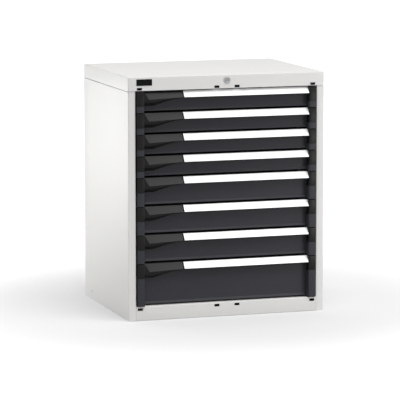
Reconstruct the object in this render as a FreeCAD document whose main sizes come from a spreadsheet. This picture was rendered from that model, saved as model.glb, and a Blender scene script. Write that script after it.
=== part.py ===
"""Steel drawer cabinet: a folded carcass, eight full-extension drawers and a central lock.

Origin at the middle of the footprint on the floor, +Z up, the drawers open towards -Y. Millimetres.
"""

import FreeCAD, Part
import os

import Sketcher

doc = FreeCAD.newDocument("drawer_cabinet")
sheet = doc.addObject("Spreadsheet::Sheet", "Sizes")
nodes = []

# A crank that turns from 45 degrees below level to 45 above lifts its pin by its throw over this.
QUARTER_TURN_THROW = 0.5 ** 0.5


# ---------------------------------------------------------------- sizes and expressions

class Size:
    """A length worked out from cells of the sheet, written with + - * and /."""

    def __init__(self, text):
        self.text = text

    def __add__(self, other):
        return Size(f"({self.text} + {as_text(other)})")

    def __sub__(self, other):
        return Size(f"({self.text} - {as_text(other)})")

    def __mul__(self, other):
        return Size(f"({self.text} * {as_text(other)})")

    def __truediv__(self, other):
        return Size(f"({self.text} / {as_text(other)})")

    def __neg__(self):
        return Size(f"(0 - {self.text})")


def as_text(value):
    return value.text if isinstance(value, Size) else repr(value)


def cell(name, value):
    """Puts one driving dimension in the sheet and returns it as a Size."""
    row = f"A{len(sheet.getUsedCells()) + 1}"
    sheet.set(row, str(value))
    sheet.setAlias(row, name)
    return Size(f"Sizes.{name}")


def number(size):
    """The present value of a Size."""
    return float(sheet.evalExpression(as_text(size)))


# overall
width = cell("width", 717)
depth = cell("depth", 572)
lid_height = cell("lid_height", 50)
base_height = cell("base_height", 50)
sheet_steel = cell("sheet_steel", 1.5)
lid_seam = cell("lid_seam", 1.6)

# drawer rows, from the top of the cabinet down
shallow = cell("shallow_drawer", 75)
middle = cell("middle_drawer", 100)
deep = cell("deep_drawer", 150)
drawer_heights = [shallow] * 4 + [middle] * 3 + [deep]
drawer_gap = cell("drawer_gap", 2.6)

# carcass folds
flange_width = cell("flange_width", 26.6)
flange_lip = cell("flange_lip", 15)
rear_flange = cell("rear_flange", 20)
floor_flange = cell("floor_flange", 28)
post_depth = cell("post_depth", 50)
post_setback = cell("post_setback", 2)
post_sheet = cell("post_sheet", 2)
link_hole_radius = cell("link_hole_radius", 3.5)
link_hole_back = cell("link_hole_back", 90)
link_hole_rise = cell("link_hole_rise", 30)

# slots in the fascia and the base rail
slot_width = cell("slot_width", 18.5)
slot_height = cell("slot_height", 9)
slot_outer = cell("slot_outer", 317)
slot_inner = cell("slot_inner", 37)
fascia_slot_rise = cell("fascia_slot_rise", 8.5)
rail_slot_drop = cell("rail_slot_drop", 10)
fascia_relief = cell("fascia_relief", 1.5)

# drawer front
column_proud = cell("column_proud", 7)
front_side_gap = cell("front_side_gap", 3.9)
column_width = cell("column_width", 26)
column_chamfer = cell("column_chamfer", 4)
column_slant = cell("column_slant", 4)
face_recess = cell("face_recess", 27)
front_box = cell("front_box", 25.5)
front_return = cell("front_return", 20)
lip_height = cell("lip_height", 8)
lip_reach = cell("lip_reach", 5)
face_lift = cell("face_lift", 4.5)

# handle, label and end caps
cap_height = cell("cap_height", 51)
cap_crest = cell("cap_crest", 24)
belly_gap = cell("belly_gap", 9.9)  # from the wing's belly down to the lip of a shallow front
cap_belly = shallow - drawer_gap - face_lift - lip_height - belly_gap
handle_top = cell("handle_top", 10)
handle_drop = cell("handle_drop", 22)
handle_wall = cell("handle_wall", 3)
handle_curl = cell("handle_curl", 2.5)
label_thickness = cell("label_thickness", 1)
label_start = cell("label_start", 157)
label_seam = cell("label_seam", 3)
fit_gap = cell("fit_gap", 0.5)

# tray
rear_space = cell("rear_space", 54.5)
floor_rise = cell("floor_rise", 8)
wall_drop = cell("wall_drop", 10)

# telescopic slides
slide_pass_gap = cell("slide_pass_gap", 3.4)
slide_width = cell("slide_width", 21)
slide_steel = cell("slide_steel", 2)
slide_gap = cell("slide_gap", 0.5)
slide_core = cell("slide_core", 17)
slide_rise = cell("slide_rise", 31)
slide_setback = cell("slide_setback", 2.5)
slide_stagger = cell("slide_stagger", 2)

# central lock
lock_rise = cell("lock_rise", 31)
bezel_radius = cell("bezel_radius", 12)
bezel_proud = cell("bezel_proud", 3)
barrel_radius = cell("barrel_radius", 9)
barrel_depth = cell("barrel_depth", 24)
plug_radius = cell("plug_radius", 6)
keyhole_width = cell("keyhole_width", 7)
keyhole_height = cell("keyhole_height", 2)
shaft_radius = cell("shaft_radius", 4)
turning_gap = cell("turning_gap", 0.3)
crank_radius = cell("crank_radius", 12)
crank_sheet = cell("crank_sheet", 4)
pin_radius = cell("pin_radius", 2.5)
lock_lift = cell("lock_lift", 10)
bar_half = cell("bar_half", 18)
bar_sheet = cell("bar_sheet", 3)
catch_half = cell("catch_half", 10)
catch_reach = cell("catch_reach", 16)
catch_rise = cell("catch_rise", 50)
catch_sheet = cell("catch_sheet", 2)
catch_gap = cell("catch_gap", 2)
bar_space = cell("bar_space", 3.5)
finger_setback = cell("finger_setback", 5.5)
guide_rise = cell("guide_rise", 56)
guide_height = cell("guide_height", 14)
guide_wall = cell("guide_wall", 6)
bracket_half = cell("bracket_half", 30)
bracket_drop = cell("bracket_drop", 33)

# badge
badge_width = cell("badge_width", 56)
badge_height = cell("badge_height", 22)
badge_sheet = cell("badge_sheet", 1.2)
badge_drop = cell("badge_drop", 8)

doc.recompute()

# planes that several pieces share
side_outer = width / 2
side_inner = side_outer - sheet_steel
opening_half = side_outer - flange_width
column_front = -depth / 2
front_plane = column_front + column_proud
front_inner = front_plane + sheet_steel
back_plane = depth / 2
back_inner = back_plane - sheet_steel
panel_front = back_inner - sheet_steel
flange_back = front_plane + flange_lip
post_front = flange_back + post_setback
face_front = column_front + face_recess
face_back = face_front + sheet_steel
tray_front = face_front + front_box
tray_back = panel_front - rear_space
floor = Size("0")

stack_height = drawer_heights[0]
for each_height in drawer_heights[1:]:
    stack_height = stack_height + each_height
lid_bottom = base_height + stack_height
height = lid_bottom + lid_height
lid_under = height - sheet_steel
panel_top = lid_bottom - lid_seam / 2
lock_height = lid_bottom + lock_rise

front_half = opening_half - front_side_gap
column_inner = front_half - column_width
face_half = column_inner - column_slant

mid_outer = opening_half - slide_pass_gap
tray_half = mid_outer - slide_width
post_inner = mid_outer + slide_gap + slide_steel
slide_front = tray_front + slide_setback

catch_back = tray_back + catch_reach
bar_front = catch_back + bar_space
bar_back = bar_front + bar_sheet
finger_back = catch_back - catch_sheet - finger_setback
crank_throw = lock_lift * QUARTER_TURN_THROW


def row_bottom(row):
    """The level under drawer number row, counted from 1 at the top."""
    level = base_height
    for below in drawer_heights[row:]:
        level = level + below
    return level


def row_top(row):
    return row_bottom(row) + drawer_heights[row - 1]


# ---------------------------------------------------------------- modelling helpers

def bind(target, **values):
    """Binds properties to Sizes: x, y and z mean the Placement's base."""
    for name, value in values.items():
        path = f"Placement.Base.{name}" if name in ("x", "y", "z") else name
        target.setExpression(path, as_text(value))


def new_body(name):
    return doc.addObject("PartDesign::Body", name)


def feature(body, kind, name):
    """A PartDesign feature that leaves coplanar faces split, since merging them can spoil a fold."""
    made = body.newObject(f"PartDesign::{kind}", name)
    made.Refine = False
    return made


def block(body, kind, name, xs, ys, zs):
    """An AdditiveBox or SubtractiveBox between the given low and high Sizes."""
    box = feature(body, f"{kind}Box", name)
    bind(box, Length=xs[1] - xs[0], Width=ys[1] - ys[0], Height=zs[1] - zs[0])
    bind(box, x=xs[0], y=ys[0], z=zs[0])
    return box


def add_block(body, name, xs, ys, zs):
    return block(body, "Additive", name, xs, ys, zs)


def cut_block(body, name, xs, ys, zs):
    return block(body, "Subtractive", name, xs, ys, zs)


def rod(body, kind, name, radius, start, length, axis):
    """A cylinder that starts at the middle of its first end and runs along +X or +Y."""
    turns = {"X": FreeCAD.Rotation(FreeCAD.Vector(0, 1, 0), 90),
             "Y": FreeCAD.Rotation(FreeCAD.Vector(1, 0, 0), -90)}
    cylinder = feature(body, f"{kind}Cylinder", name)
    cylinder.Placement = FreeCAD.Placement(FreeCAD.Vector(0, 0, 0), turns[axis])
    bind(cylinder, Radius=radius, Height=length)
    bind(cylinder, x=start[0], y=start[1], z=start[2])
    return cylinder


def outline(body, name, role, points, level):
    """A closed sketch of straight edges on one of the body's origin planes."""
    sketch = body.newObject("Sketcher::SketchObject", name)
    plane = [item for item in body.Origin.OriginFeatures if item.Role == role][0]
    sketch.AttachmentSupport = (plane, [""])
    sketch.MapMode = "FlatFace"
    sketch.setExpression("AttachmentOffset.Base.z", as_text(level))
    places = [(number(across), number(up)) for across, up in points]
    for index, place in enumerate(places):
        following = places[(index + 1) % len(places)]
        start = FreeCAD.Vector(place[0], place[1], 0)
        end = FreeCAD.Vector(following[0], following[1], 0)
        sketch.addGeometry(Part.LineSegment(start, end), False)
    for index in range(len(points)):
        following = (index + 1) % len(points)
        sketch.addConstraint(Sketcher.Constraint("Coincident", index, 2, following, 1))
    for index, point in enumerate(points):
        for kind, size in zip(("DistanceX", "DistanceY"), point):
            value = number(size)
            made = sketch.addConstraint(Sketcher.Constraint(kind, -1, 1, index, 1, value))
            sketch.setExpression(f"Constraints[{made}]", as_text(size))
    return sketch


def pad_outline(body, name, role, points, low, high):
    """Pads a closed outline from low to high along the normal of its plane."""
    level = -high if role == "XZ_Plane" else low
    sketch = outline(body, f"{name}_outline", role, points, level)
    pad = feature(body, "Pad", name)
    pad.Profile = sketch
    pad.setExpression("Length", as_text(high - low))
    return pad


def twin(piece, name):
    """The same piece on the other side of the cabinet."""
    mirrored = doc.addObject("Part::Mirroring", name)
    mirrored.Source = piece
    mirrored.Normal = FreeCAD.Vector(1, 0, 0)
    return mirrored


def keep(piece, label):
    piece.Label = label
    nodes.append(piece)


def keep_group(pieces, label):
    """Keeps several separate solids as one node."""
    group = doc.addObject("Part::Compound", f"{label}_group")
    group.Links = pieces
    keep(group, label)


def channel(web, tip, wall, centre, half):
    """The eight corners of a C section whose web is at web and whose flanges end at tip."""
    low = centre - half
    high = centre + half
    step = slide_steel if wall > 0 else -slide_steel
    return [(web, low), (tip, low), (tip, low + slide_steel), (web + step, low + slide_steel),
            (web + step, high - slide_steel), (tip, high - slide_steel), (tip, high), (web, high)]


# ---------------------------------------------------------------- carcass

def make_side(label, side):
    """A side panel: front flange with its folded lip, and a rear flange."""
    body = new_body(label)
    points = [(side_outer, front_plane), (opening_half, front_plane), (opening_half, flange_back),
              (opening_half + sheet_steel, flange_back), (opening_half + sheet_steel, front_inner),
              (side_inner, front_inner), (side_inner, back_inner),
              (side_outer - rear_flange, back_inner), (side_outer - rear_flange, back_plane),
              (side_outer, back_plane)]
    points = [(across * side, along) for across, along in points]
    pad_outline(body, f"{label}_fold", "XY_Plane", points, floor, panel_top)
    start = side_inner - sheet_steel if side > 0 else -side_outer - sheet_steel
    place = (start, back_plane - link_hole_back, link_hole_rise)
    rod(body, "Subtractive", f"{label}_link_hole", link_hole_radius, place, sheet_steel * 3, "X")
    keep(body, label)


def cut_slots(body, name, zs):
    """Four slots through the front sheet of the fascia or the base rail."""
    for index, centre in enumerate((-slot_outer, -slot_inner, slot_inner, slot_outer)):
        cut_block(body, f"{name}_slot_{index + 1}",
                  (centre - slot_width / 2, centre + slot_width / 2),
                  (front_plane - sheet_steel, front_inner + sheet_steel), zs)


def make_base():
    """The base: a floor sheet on front and rear skirts, with a flange ring that stands on the ground."""
    body = new_body("base_frame")
    deck = (base_height - sheet_steel, base_height)
    under = (floor, sheet_steel)
    rise = (floor, base_height)
    between = (-opening_half, opening_half)
    inside = (-side_inner, side_inner)
    ring = side_inner - floor_flange
    rear_inner = panel_front - floor_flange
    add_block(body, "base_deck", inside, (post_front, back_inner), deck)
    add_block(body, "base_ledge", between, (front_plane, post_front), deck)
    add_block(body, "base_rail", between, (front_plane, front_inner), rise)
    add_block(body, "base_rear_skirt", inside, (panel_front, back_inner), rise)
    add_block(body, "front_floor_flange", between, (front_plane, post_front + floor_flange), under)
    add_block(body, "rear_floor_flange", inside, (rear_inner, back_inner), under)
    add_block(body, "left_floor_flange", (-side_inner, -ring), (post_front, back_inner), under)
    add_block(body, "right_floor_flange", (ring, side_inner), (post_front, back_inner), under)
    top = base_height - rail_slot_drop + slot_height / 2
    cut_slots(body, "base", (top - slot_height, top))
    keep(body, "base_frame")


def make_top_cover():
    """The lid: a shallow pan turned over, with the fascia as its front wall."""
    body = new_body("top_cover")
    bottom = lid_bottom + lid_seam / 2
    add_block(body, "lid_outside", (-side_outer, side_outer), (front_plane, back_plane),
              (bottom, height))
    cut_block(body, "lid_inside", (-side_inner, side_inner), (front_inner, back_inner),
              (bottom - sheet_steel, lid_under))
    cut_block(body, "fascia_relief", (-opening_half, opening_half),
              (front_plane - sheet_steel, front_inner + sheet_steel),
              (bottom - sheet_steel, bottom + fascia_relief))
    low = lid_bottom + fascia_slot_rise - slot_height / 2
    cut_slots(body, "fascia", (low, low + slot_height))
    rod(body, "Subtractive", "lock_hole", barrel_radius,
        (floor, front_plane - sheet_steel, lock_height), sheet_steel * 3, "Y")
    keep(body, "top_cover")


def make_back_panel():
    body = new_body("back_panel")
    add_block(body, "back_sheet", (-side_inner, side_inner), (panel_front, back_inner),
              (base_height, panel_top))
    keep(body, "back_panel")


def make_posts():
    """Four upright channels that carry the slides and hold the lid up."""
    posts = []
    for name, near in (("front", post_front), ("rear", tray_back - post_depth)):
        body = new_body(f"{name}_post")
        far = near + post_depth
        web = post_inner + post_sheet
        points = [(post_inner, near), (side_inner, near), (side_inner, near + post_sheet),
                  (web, near + post_sheet), (web, far - post_sheet), (side_inner, far - post_sheet),
                  (side_inner, far), (post_inner, far)]
        pad_outline(body, f"{name}_post_fold", "XY_Plane", points, base_height, lid_under)
        posts.extend([body, twin(body, f"{name}_post_twin")])
    keep_group(posts, "corner_posts")


def make_badge():
    """A plain name plate with no lettering."""
    body = new_body("badge_plate")
    top = height - badge_drop
    left = -front_half
    add_block(body, "badge", (left, left + badge_width), (front_plane - badge_sheet, front_plane),
              (top - badge_height, top))
    keep(body, "badge_plate")


# ---------------------------------------------------------------- slides

def make_fixed_rails():
    """One outer slide member on each side of every row, screwed to the posts."""
    rails = []
    half = slide_core + (slide_gap + slide_steel) * 2
    tip = tray_half + slide_steel + slide_stagger * 1.5
    for row in range(1, len(drawer_heights) + 1):
        body = new_body(f"fixed_rail_{row}")
        centre = row_bottom(row) + slide_rise
        points = channel(post_inner, tip, -1, centre, half)
        pad_outline(body, f"fixed_rail_{row}_fold", "XZ_Plane", points, slide_front, tray_back)
        rails.extend([body, twin(body, f"fixed_rail_{row}_twin")])
    keep_group(rails, "fixed_rails")


def make_mid_rails(row):
    """The middle slide members, which travel half as far as the drawer."""
    body = new_body(f"mid_rail_{row}")
    centre = row_bottom(row) + slide_rise
    half = slide_core + slide_gap + slide_steel
    tip = tray_half + slide_steel + slide_stagger / 2
    points = channel(mid_outer, tip, -1, centre, half)
    pad_outline(body, f"mid_rail_{row}_fold", "XZ_Plane", points, slide_front, tray_back)
    keep_group([body, twin(body, f"mid_rail_{row}_twin")], f"mid_rails_{row}")


def make_runner(row):
    """The inner slide member on the right wall of a tray."""
    body = new_body(f"runner_{row}")
    centre = row_bottom(row) + slide_rise
    tip = mid_outer - slide_steel - slide_gap
    points = channel(tray_half, tip, 1, centre, slide_core)
    pad_outline(body, f"runner_{row}_fold", "XZ_Plane", points, slide_front, tray_back)
    return body


# ---------------------------------------------------------------- drawers

def make_catch(row):
    """The strap and hook welded to the back of a tray, for the central lock."""
    body = new_body(f"catch_{row}")
    across = (-catch_half, catch_half)
    under = row_bottom(row) + catch_rise
    add_block(body, f"catch_{row}_strap", across, (tray_back, catch_back), (under, under + catch_sheet))
    add_block(body, f"catch_{row}_hook", across, (catch_back - catch_sheet, catch_back),
              (under - lock_lift, under))
    return body


def make_sheet(name, across, along, rise):
    """A flat sheet, as a body of its own."""
    body = new_body(name)
    add_block(body, f"{name}_block", across, along, rise)
    return body


def make_tray(row):
    """A tray of five flat sheets welded at their edges, with its runners and its lock catch."""
    floor_level = row_bottom(row) + floor_rise
    floor_top = floor_level + sheet_steel
    inner, wall_front, wall_back = tray_half - sheet_steel, tray_front + sheet_steel, tray_back - sheet_steel
    across, walls = (-tray_half, tray_half), (floor_top, row_top(row) - wall_drop)
    side = make_sheet(f"tray_{row}_side", (inner, tray_half), (wall_front, wall_back), walls)
    runner = make_runner(row)
    keep_group([make_sheet(f"tray_{row}_floor", across, (tray_front, tray_back), (floor_level, floor_top)),
                make_sheet(f"tray_{row}_front", across, (tray_front, wall_front), walls),
                make_sheet(f"tray_{row}_back", across, (wall_back, tray_back), walls),
                side, twin(side, f"tray_{row}_side_twin"),
                make_catch(row), runner, twin(runner, f"runner_{row}_twin")],
               f"drawer_{row}_tray")


def front_limits(row):
    return row_bottom(row) + drawer_gap / 2, row_top(row) - drawer_gap / 2


def make_front(row):
    """A folded front: a recessed face between two proud columns, flanged back to the tray.

    The face stops a little above the foot of the columns, which leaves a shadow line under it.
    """
    bottom, top = front_limits(row)
    body = new_body(f"drawer_{row}_front")
    foot = bottom + face_lift
    seam = tray_front - sheet_steel
    face = [(tray_front, top), (face_front, top), (face_front, foot), (tray_front, foot),
            (tray_front, foot + front_return), (seam, foot + front_return),
            (seam, foot + sheet_steel), (face_back, foot + sheet_steel),
            (face_back, top - sheet_steel), (seam, top - sheet_steel),
            (seam, top - front_return), (tray_front, top - front_return)]
    pad_outline(body, f"front_{row}_face", "YZ_Plane", face, -face_half, face_half)
    lip = [(face_front, foot + lip_height), (face_front - lip_reach, foot), (face_front, foot)]
    pad_outline(body, f"front_{row}_lip", "YZ_Plane", lip, -face_half + fit_gap, face_half - fit_gap)
    edge = sheet_steel / 2
    inside = front_half - sheet_steel
    column = [(face_half, face_front), (column_inner, column_front + column_chamfer),
              (column_inner + column_chamfer, column_front), (front_half, column_front),
              (front_half, tray_front), (inside, tray_front), (inside, column_front + sheet_steel),
              (column_inner + column_chamfer + edge, column_front + sheet_steel),
              (column_inner + sheet_steel, column_front + column_chamfer + edge),
              (face_half + sheet_steel, face_back), (face_half, face_back)]
    shoulder = top - cap_height
    edge_on = inside - fit_gap
    for side, name in ((1, "right"), (-1, "left")):
        points = [(across * side, along) for across, along in column]
        pad_outline(body, f"front_{row}_{name}_column", "XY_Plane", points, bottom, shoulder)
        span = (face_half, edge_on) if side > 0 else (-edge_on, -face_half)
        add_block(body, f"front_{row}_{name}_shoulder", span, (face_front, face_back), (shoulder, top))
    keep(body, f"drawer_{row}_front")


def make_handle(row):
    """The sloping grip, open behind and below for the fingers."""
    top = front_limits(row)[1]
    body = new_body(f"drawer_{row}_handle")
    crest = face_front - handle_top + label_thickness
    nose = column_front + label_thickness
    bottom = top - handle_drop
    points = [(face_front, top), (crest, top), (nose, bottom), (nose, bottom - handle_curl),
              (nose + handle_wall, bottom - handle_curl), (nose + handle_wall, bottom),
              (crest + handle_wall, top - handle_wall), (face_front, top - handle_wall)]
    pad_outline(body, f"handle_{row}_profile", "YZ_Plane", points, -label_start,
                column_inner - fit_gap)
    keep(body, f"drawer_{row}_handle")


def make_label(row):
    """The label strip on the slope of the grip."""
    top = front_limits(row)[1]
    body = new_body(f"drawer_{row}_label")
    crest = face_front - handle_top
    points = [(crest, top), (crest + label_thickness, top),
              (column_front + label_thickness, top - handle_drop), (column_front, top - handle_drop)]
    pad_outline(body, f"label_{row}_strip", "YZ_Plane", points, -label_start, column_inner - fit_gap)
    keep(body, f"drawer_{row}_label")


def make_end_caps(row):
    """Moulded caps over both columns; the left one carries on as a wing up to the label."""
    top = front_limits(row)[1]
    seam = label_start + label_seam
    deep_y = (column_front, face_front)
    rise = (top - cap_height, top)
    left = new_body(f"left_cap_{row}")
    add_block(left, f"left_cap_{row}_column", (-front_half, -column_inner), deep_y, rise)
    wing = [(face_front, top), (face_front - handle_top, top), (column_front, top - cap_crest),
            (face_front, top - cap_belly)]
    pad_outline(left, f"left_cap_{row}_wing", "YZ_Plane", wing, -column_inner, -seam)
    right = new_body(f"right_cap_{row}")
    add_block(right, f"right_cap_{row}_column", (column_inner, front_half), deep_y, rise)
    keep_group([left, right], f"drawer_{row}_end_caps")


# ---------------------------------------------------------------- central lock

def make_lock_housing():
    """The bezel on the fascia and the barrel behind it, bored for the plug."""
    body = new_body("lock_housing")
    bezel_front = front_plane - bezel_proud
    rod(body, "Additive", "bezel", bezel_radius, (floor, bezel_front, lock_height), bezel_proud, "Y")
    rod(body, "Additive", "barrel", barrel_radius, (floor, front_plane, lock_height),
        barrel_depth, "Y")
    rod(body, "Subtractive", "plug_bore", plug_radius + turning_gap,
        (floor, bezel_front, lock_height), bezel_proud + barrel_depth, "Y")
    keep(body, "lock_housing")


def make_lock_cylinder():
    """The key plug, its long shaft under the lid and the crank that lifts the bar."""
    body = new_body("lock_cylinder")
    plug_front = front_plane - bezel_proud + fit_gap
    plug_back = front_plane + barrel_depth + fit_gap
    crank_back = bar_front - bar_sheet
    crank_front = crank_back - crank_sheet
    pin_end = bar_back + catch_gap
    rod(body, "Additive", "plug", plug_radius, (floor, plug_front, lock_height),
        plug_back - plug_front, "Y")
    rod(body, "Additive", "shaft", shaft_radius, (floor, plug_back, lock_height),
        crank_front - plug_back, "Y")
    rod(body, "Additive", "crank", crank_radius, (floor, crank_front, lock_height), crank_sheet, "Y")
    rod(body, "Additive", "crank_pin", pin_radius,
        (lock_lift / 2, crank_back, lock_height - lock_lift / 2), pin_end - crank_back, "Y")
    cut_block(body, "keyhole", (-keyhole_width / 2, keyhole_width / 2),
              (plug_front - fit_gap, plug_front + barrel_depth / 2),
              (lock_height - keyhole_height / 2, lock_height + keyhole_height / 2))
    keep(body, "lock_cylinder")


def make_lock_bar():
    """The upright bar with one finger behind each drawer's hook and a slot for the crank pin."""
    body = new_body("lock_bar")
    last = len(drawer_heights)
    pin_level = lock_height - lock_lift / 2
    slot_half = pin_radius + fit_gap
    tab_drop = lock_lift + catch_gap
    across = (-catch_half + catch_gap, catch_half - catch_gap)
    foot = row_bottom(last) + catch_rise - lock_lift * 2 - tab_drop - catch_sheet
    add_block(body, "bar", (-bar_half, bar_half), (bar_front, bar_back),
              (foot, pin_level + slot_half + handle_wall))
    cut_block(body, "pin_slot", (lock_lift / 2 - slot_half, crank_throw + slot_half),
              (bar_front - bar_sheet, bar_back + bar_sheet),
              (pin_level - slot_half, pin_level + slot_half))
    for row in range(1, last + 1):
        finger_top = row_bottom(row) + catch_rise - lock_lift - catch_gap
        finger_foot = finger_top - lock_lift
        add_block(body, f"tab_{row}", across, (finger_back - bar_sheet, bar_front),
                  (finger_foot - catch_sheet, finger_foot))
        add_block(body, f"finger_{row}", across, (finger_back - bar_sheet, finger_back),
                  (finger_foot, finger_top))
    keep(body, "lock_bar")


def make_bar_guides():
    """Two guides on the back panel, and the bracket under the lid that carries the shaft."""
    guides = []
    half = bar_half + guide_wall
    play = bar_half + turning_gap
    for row in (3, 8):
        body = new_body(f"guide_{row}")
        low = row_bottom(row) + guide_rise
        add_block(body, f"guide_{row}_block", (-half, half), (bar_front - bar_sheet, panel_front),
                  (low, low + guide_height))
        cut_block(body, f"guide_{row}_slot", (-play, play),
                  (bar_front - turning_gap, bar_back + turning_gap),
                  (low - sheet_steel, low + guide_height + sheet_steel))
        guides.append(body)
    bracket = new_body("shaft_bracket")
    across = (-bracket_half, bracket_half)
    add_block(bracket, "bracket_top", across, (tray_back, back_inner), (lid_under - catch_sheet, lid_under))
    add_block(bracket, "bracket_wall", across, (tray_back, tray_back + bar_sheet),
              (lid_under - bracket_drop, lid_under))
    rod(bracket, "Subtractive", "bracket_bore", shaft_radius + turning_gap,
        (floor, tray_back - sheet_steel, lock_height), sheet_steel * 2 + bar_sheet, "Y")
    guides.append(bracket)
    keep_group(guides, "bar_guides")


# ---------------------------------------------------------------- build, test and write

def build():
    make_side("left_side", -1)
    make_side("right_side", 1)
    make_base()
    make_top_cover()
    make_back_panel()
    make_posts()
    make_badge()
    make_fixed_rails()
    make_lock_housing()
    make_lock_cylinder()
    make_lock_bar()
    make_bar_guides()
    for row in range(1, len(drawer_heights) + 1):
        make_tray(row)
        make_front(row)
        make_handle(row)
        make_label(row)
        make_end_caps(row)
        make_mid_rails(row)
    doc.recompute()


def check():
    for item in doc.Objects:
        if {"Invalid", "Error"} & set(item.State):
            raise RuntimeError(f"{item.Label} did not build: {item.State}")
    for node in nodes:
        if node.Shape.isNull() or not node.Shape.isValid():
            raise RuntimeError(f"{node.Label} has no valid shape")


def write():
    os.makedirs("parts", exist_ok=True)
    for node in nodes:
        node.Shape.exportStep(f"parts/{node.Label}.step")
        print(node.Label, len(node.Shape.Solids), "solids", round(node.Shape.Volume), "mm3")


build()
check()
write()
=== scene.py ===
# %% [markdown]
# # A steel drawer cabinet
# This is a workshop cabinet: a folded and powder-coated steel carcass with eight drawers on
# telescopic slides, sloping grips with white label strips, and one lock in the fascia.
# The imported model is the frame. It says where every part is and how it moves, so each piece
# below is made in place, in metres, and rides on the body that carries it.

# %% The frame and its box
from math import cos, pi, radians, sin

import bmesh
import bpy
from mathutils import Matrix, Vector


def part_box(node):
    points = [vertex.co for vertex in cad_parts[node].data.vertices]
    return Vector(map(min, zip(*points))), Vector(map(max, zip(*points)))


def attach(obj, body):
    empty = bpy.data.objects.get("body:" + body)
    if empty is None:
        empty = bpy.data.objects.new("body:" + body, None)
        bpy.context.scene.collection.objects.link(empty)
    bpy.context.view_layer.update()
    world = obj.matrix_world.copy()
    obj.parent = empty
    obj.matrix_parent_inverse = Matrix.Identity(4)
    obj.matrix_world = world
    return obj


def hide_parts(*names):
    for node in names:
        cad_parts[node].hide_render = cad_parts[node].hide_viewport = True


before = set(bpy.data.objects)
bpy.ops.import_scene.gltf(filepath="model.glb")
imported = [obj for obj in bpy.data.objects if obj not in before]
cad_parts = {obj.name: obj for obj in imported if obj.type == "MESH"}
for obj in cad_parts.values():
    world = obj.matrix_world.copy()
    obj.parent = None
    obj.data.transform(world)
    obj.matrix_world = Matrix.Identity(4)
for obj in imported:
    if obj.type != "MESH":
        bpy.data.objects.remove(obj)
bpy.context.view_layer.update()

# %% [markdown]
# Every place comes from the boxes of the CAD nodes. The few lengths below them are the sheet
# thickness and the sizes inside a section, which a box can't tell.

# %% Planes and thicknesses
lid_low, lid_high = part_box("top_cover")
base_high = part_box("base_frame")[1]
post_low, post_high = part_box("corner_posts")
outer, front, back, top = lid_high.x, lid_low.y, lid_high.y, lid_high.z
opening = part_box("right_side")[0].x
steel = 0.0015
slot_places = (-0.317, -0.037, 0.037, 0.317)
slot_half, slot_corner = (0.00925, 0.0045), 0.0014
rows = range(1, 9)
scene = bpy.context.scene
print("carcass:", round(2 * outer, 4), round(back - front, 4), round(top, 4))

# %% [markdown]
# ## Camera
# A long lens from ten metres away keeps the uprights parallel, as in a catalogue. The
# camera stands to the left, a little above the lid, and looks down on it.

# %% Camera
def place_camera(spot, turn, dip, tilt, lens):
    """A camera that looks along +Y, turned towards +X, dipped and tilted, in radians."""
    data = bpy.data.cameras.new("view")
    data.lens, data.sensor_width, data.clip_end = lens, 36, 200
    camera = bpy.data.objects.new("view", data)
    scene.collection.objects.link(camera)
    camera.matrix_world = (Matrix.Translation(spot) @ Matrix.Rotation(-turn, 4, "Z")
                           @ Matrix.Rotation(pi / 2 - dip, 4, "X") @ Matrix.Rotation(tilt, 4, "Z"))
    scene.camera = camera


place_camera(Vector((-2.970, -9.156, 1.724)), 0.3128, 0.1394, -0.0011, 243.8)
print("lens:", scene.camera.data.lens, "mm")

# %% [markdown]
# ## Studio
# A white sky that is brighter overhead, a wide pale floor, and one very soft key light from
# above, in front and a little to the right. Two small soft panels stand low: one in front at
# the right, and one at the left rear, which lifts the side of the cabinet. The lens sees the
# sky as plain white; the steel sees its gradient.

# %% Node helpers
def node(tree, kind, plugs=None, **settings):
    """Adds a shader node; a plug is given a value or another node's socket."""
    made = tree.nodes.new("ShaderNode" + kind)
    for key, value in settings.items():
        setattr(made, key, value)
    for key, value in (plugs or {}).items():
        if isinstance(value, bpy.types.NodeSocket):
            tree.links.new(value, made.inputs[key])
        else:
            made.inputs[key].default_value = value
    return made


def maths(tree, operation, first, second=0.0, third=0.0):
    return node(tree, "Math", {0: first, 1: second, 2: third}, operation=operation).outputs[0]


# %% Sky
def make_sky(horizon, zenith):
    world = bpy.data.worlds.new("studio")
    scene.world = world
    world.use_nodes = True
    tree = world.node_tree
    tree.nodes.clear()
    aim = node(tree, "TexCoord").outputs["Generated"]
    height = node(tree, "SeparateXYZ", {0: aim}).outputs["Z"]
    rise = node(tree, "MapRange", {"Value": height, "From Min": 0.0, "From Max": 1.0,
                                   "To Min": horizon, "To Max": zenith})
    glow = node(tree, "Background", {"Strength": rise.outputs[0]})
    plain = node(tree, "Background", {"Color": (1, 1, 1, 1), "Strength": 1.0})
    seen = node(tree, "LightPath").outputs["Is Camera Ray"]
    both = node(tree, "MixShader", {0: seen, 1: glow.outputs[0], 2: plain.outputs[0]})
    node(tree, "OutputWorld", {"Surface": both.outputs[0]})


make_sky(0.36, 1.15)
scene.view_settings.view_transform = "Standard"
print("sky set")


# %% Lamps
def aim_lamp(name, kind, spot, target, energy, **settings):
    data = bpy.data.lights.new(name, kind)
    data.energy = energy
    for key, value in settings.items():
        setattr(data, key, value)
    lamp = bpy.data.objects.new(name, data)
    scene.collection.objects.link(lamp)
    lamp.location = spot
    lamp.rotation_euler = (Vector(target) - Vector(spot)).to_track_quat("-Z", "Y").to_euler()


aim_lamp("key", "SUN", (0.6, -1.5, 3.7), (0, 0, 0), 2.35, angle=radians(50))
aim_lamp("rear_fill", "AREA", (-1.6, 1.8, 0.42), (-0.3, 0.2, 0.4), 24, shape="DISK", size=0.9)
aim_lamp("front_fill", "AREA", (1.2, -1.7, 0.5), (0.3, -0.2, 0.6), 7, shape="DISK", size=0.6)

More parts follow.
